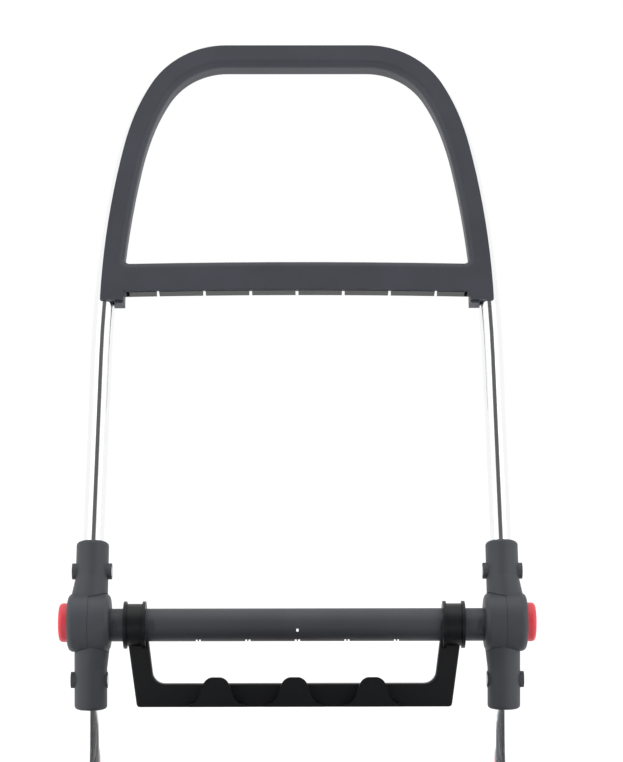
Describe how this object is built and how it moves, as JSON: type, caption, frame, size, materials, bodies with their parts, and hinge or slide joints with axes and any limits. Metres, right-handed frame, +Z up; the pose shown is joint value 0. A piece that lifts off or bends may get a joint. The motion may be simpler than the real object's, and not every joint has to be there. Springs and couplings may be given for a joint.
{
  "type": "folding platform cart",
  "caption": "Flat platform cart with swivel casters in front, larger fixed wheels behind, and a leaning push handle with a D-shaped grip that folds down over the deck.",
  "frame": {"origin": "on the floor, under the middle of the cart's outline", "axes": "+Z up, +X to the cart's right seen from behind, +Y to the rear where the user stands"},
  "size_m": [0.593, 0.903, 1.0356],
  "materials": {
    "polished_tube": "bright polished aluminium tube",
    "grip_plastic": "fine satin dark grey moulding",
    "knuckle_plastic": "dark grey glass-filled nylon",
    "crossbar_plastic": "dark grey moulding",
    "black_plastic": "black moulding",
    "hanger_plastic": "semi-gloss black moulding",
    "red_button": "satin red moulding",
    "deck_plastic": "textured dark grey moulding",
    "tread_rubber": "black anti-slip rubber",
    "rim_plastic": "mid grey moulding",
    "tyre": "solid black rubber tyre",
    "steel": "zinc-plated steel"
  },
  "bodies": {
    "chassis": {"side_tube_left": "polished_tube", "side_tube_right": "polished_tube", "cross_tubes": "polished_tube", "deck": "deck_plastic", "deck_heel": "deck_plastic", "deck_tread_strips": "tread_rubber", "corner_bumpers": "tread_rubber", "deck_screws": "steel", "front_corner_left": "knuckle_plastic", "front_corner_right": "knuckle_plastic", "rear_bracket_left": "knuckle_plastic", "rear_bracket_right": "knuckle_plastic", "bracket_screws": "steel", "lower_knuckle_left": "knuckle_plastic", "lower_knuckle_right": "knuckle_plastic", "lower_clamp_screws": "steel", "knuckle_bolts": "steel", "crossbar_front": "crossbar_plastic", "crossbar_rear": "crossbar_plastic", "crossbar_screws": "steel", "gear_spring_left": "steel", "gear_spring_right": "steel", "rear_axle": "steel", "axle_collars": "steel", "kingpin_left": "steel", "kingpin_right": "steel", "swivel_bearing_left": "steel", "swivel_bearing_right": "steel"},
    "upper_handle": {"handle_tube": "polished_tube", "grip_front_shell": "grip_plastic", "grip_rear_shell": "grip_plastic", "bar_strip": "black_plastic", "grip_screws": "steel", "upper_knuckle_left": "knuckle_plastic", "upper_knuckle_right": "knuckle_plastic", "button_guide_left": "black_plastic", "button_guide_right": "black_plastic", "upper_clamp_screws": "steel"},
    "button_left": {"release_button_left": "red_button"},
    "button_right": {"release_button_right": "red_button"},
    "gear_left": {"lock_gear_left": "black_plastic"},
    "gear_right": {"lock_gear_right": "black_plastic"},
    "hanger": {"bag_hanger": "hanger_plastic"},
    "caster_left": {"caster_fork_left": "steel", "caster_axle_left": "steel"},
    "caster_right": {"caster_fork_right": "steel", "caster_axle_right": "steel"},
    "front_wheel_left": {"caster_rim_left": "rim_plastic", "caster_tyre_left": "tyre"},
    "front_wheel_right": {"caster_rim_right": "rim_plastic", "caster_tyre_right": "tyre"},
    "rear_wheel_left": {"rear_rim_left": "rim_plastic", "rear_tyre_left": "tyre", "hub_cap_left": "black_plastic"},
    "rear_wheel_right": {"rear_rim_right": "rim_plastic", "rear_tyre_right": "tyre", "hub_cap_right": "black_plastic"},
    "brake": {"brake_bar": "steel", "brake_shoes": "tread_rubber", "brake_pedal": "red_button"}
  },
  "joints": [
    {"name": "handle_fold", "type": "hinge", "parent": "chassis", "child": "upper_handle", "pos_m": [0, 0.214, 0.35], "axis": [1, 0, 0], "range_deg": [0, 108]},
    {"name": "release_left", "type": "slide", "parent": "upper_handle", "child": "button_left", "axis": [1, 0, 0], "range_m": [0, 0.006], "stiffness_N_per_m": 700, "springref_m": -0.004},
    {"name": "release_right", "type": "slide", "parent": "upper_handle", "child": "button_right", "axis": [-1, 0, 0], "range_m": [0, 0.006], "stiffness_N_per_m": 700, "springref_m": -0.004},
    {"name": "lock_left", "type": "slide", "parent": "chassis", "child": "gear_left", "axis": [1, 0, 0], "range_m": [0, 0.006], "deforming": ["gear_spring_left"]},
    {"name": "lock_right", "type": "slide", "parent": "chassis", "child": "gear_right", "axis": [-1, 0, 0], "range_m": [0, 0.006], "deforming": ["gear_spring_right"]},
    {"name": "hanger_swing", "type": "hinge", "parent": "chassis", "child": "hanger", "pos_m": [0, 0.214, 0.3472], "axis": [-1, 0, 0], "range_deg": [-75, 110]},
    {"name": "caster_swivel_left", "type": "hinge", "parent": "chassis", "child": "caster_left", "pos_m": [-0.192, -0.408, 0.11], "axis": [0, 0, 1], "continuous": true},
    {"name": "front_wheel_spin_left", "type": "hinge", "parent": "caster_left", "child": "front_wheel_left", "pos_m": [-0.192, -0.378, 0.05], "axis": [1, 0, 0], "continuous": true},
    {"name": "rear_wheel_spin_left", "type": "hinge", "parent": "chassis", "child": "rear_wheel_left", "pos_m": [-0.2725, 0.19, 0.08], "axis": [1, 0, 0], "continuous": true},
    {"name": "caster_swivel_right", "type": "hinge", "parent": "chassis", "child": "caster_right", "pos_m": [0.192, -0.408, 0.11], "axis": [0, 0, 1], "continuous": true},
    {"name": "front_wheel_spin_right", "type": "hinge", "parent": "caster_right", "child": "front_wheel_right", "pos_m": [0.192, -0.378, 0.05], "axis": [1, 0, 0], "continuous": true},
    {"name": "rear_wheel_spin_right", "type": "hinge", "parent": "chassis", "child": "rear_wheel_right", "pos_m": [0.2725, 0.19, 0.08], "axis": [1, 0, 0], "continuous": true},
    {"name": "brake_press", "type": "hinge", "parent": "chassis", "child": "brake", "pos_m": [0, 0.244, 0.156], "axis": [-1, 0, 0], "range_deg": [0, 35]}
  ],
  "couplings": [
    {"joint": "lock_left", "follows": "release_left", "ratio": 1},
    {"joint": "lock_right", "follows": "release_right", "ratio": 1}
  ]
}
